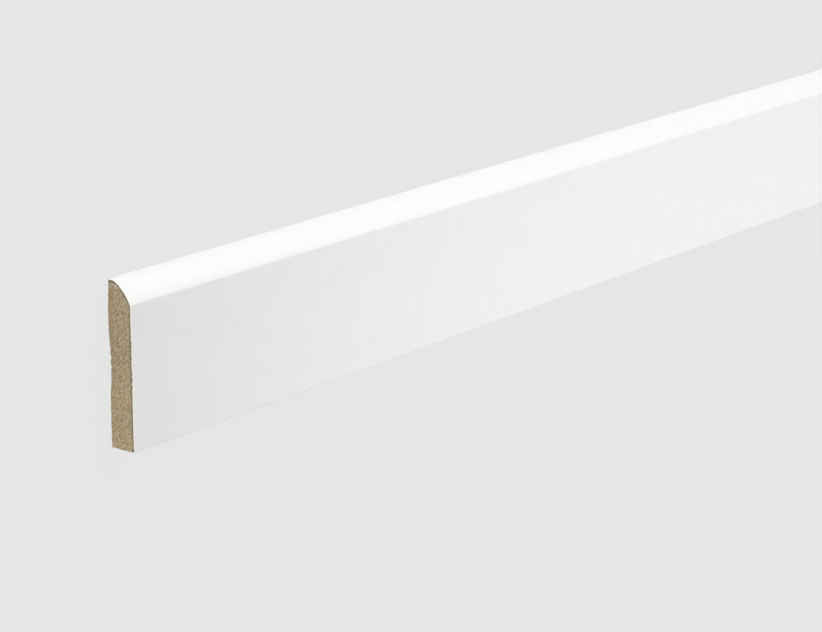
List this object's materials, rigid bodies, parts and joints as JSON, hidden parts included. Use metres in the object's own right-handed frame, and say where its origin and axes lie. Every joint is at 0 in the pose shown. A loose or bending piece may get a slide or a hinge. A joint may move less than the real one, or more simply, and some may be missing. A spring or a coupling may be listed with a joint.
{
  "type": "cover strip",
  "caption": "Straight flat cover strip of white coated fibreboard with a crowned bevel along one long edge and square sawn ends.",
  "frame": {"origin": "centre of the strip's flat back, which lies on the floor", "axes": "+X along the length, +Y across the width towards the bevelled long edge, +Z out of the white front face"},
  "size_m": [2.4, 0.07, 0.012],
  "materials": {
    "white_coat": "satin"
  },
  "bodies": {
    "root": {"cover_strip": "white_coat"}
  },
  "joints": []
}
